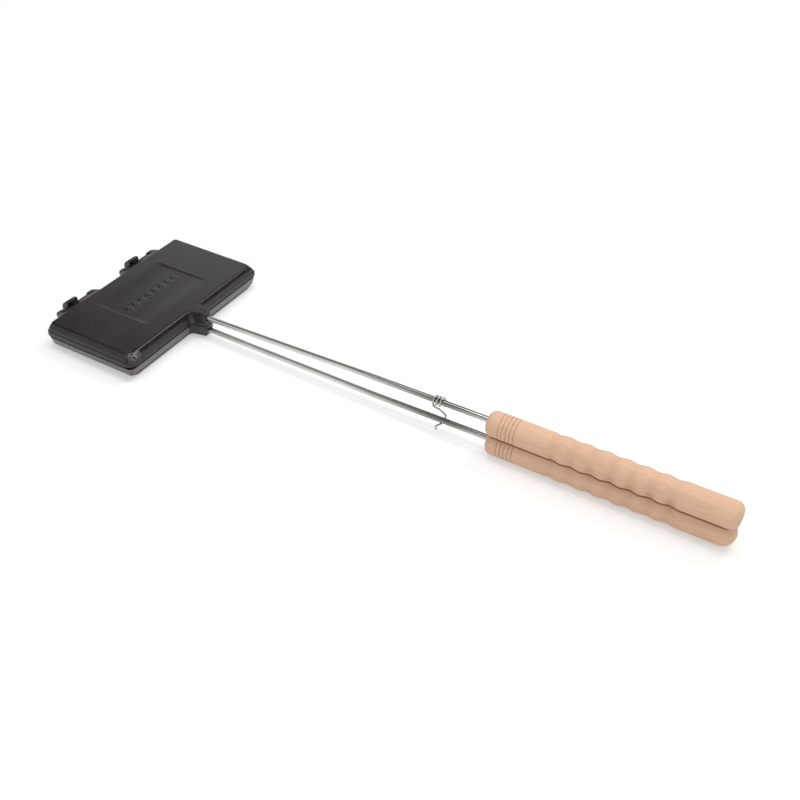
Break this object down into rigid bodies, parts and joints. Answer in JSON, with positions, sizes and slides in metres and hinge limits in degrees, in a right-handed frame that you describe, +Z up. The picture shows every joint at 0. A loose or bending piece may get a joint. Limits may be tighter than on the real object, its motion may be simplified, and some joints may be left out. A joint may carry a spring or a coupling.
{
  "type": "campfire waffle iron",
  "caption": "Hinged cast-iron waffle maker for a campfire, with long steel rods, turned wooden grips and a wire latch clip.",
  "frame": {"origin": "centre of the lower plate's flat bottom face", "axes": "+X along the rods towards the grips, +Y along the hinge, +Z up out of the lid"},
  "size_m": [0.7336, 0.212, 0.049],
  "materials": {
    "casting": "satin",
    "rod_steel": "polished",
    "pin_steel": "satin",
    "spring_wire": "bright",
    "beech": "unvarnished"
  },
  "bodies": {
    "lower_half": {"lower_plate": "casting", "lower_rod": "rod_steel", "lower_grip": "beech", "lower_rod_pin": "pin_steel"},
    "upper_half": {"upper_plate": "casting", "upper_rod": "rod_steel", "upper_grip": "beech", "upper_rod_pin": "pin_steel", "hinge_pin_near": "pin_steel", "hinge_pin_far": "pin_steel"},
    "latch": {"latch_clip": "spring_wire"}
  },
  "joints": [
    {"name": "lid_hinge", "type": "hinge", "parent": "lower_half", "child": "upper_half", "pos_m": [-0.0718, 0, 0.0143], "axis": [0, -1, 0], "range_deg": [0, 180]},
    {"name": "latch_swing", "type": "hinge", "parent": "upper_half", "child": "latch", "pos_m": [0.3593, 0, 0.02905], "axis": [0.9999, 0, 0.0132], "range_deg": [0, 170]}
  ]
}
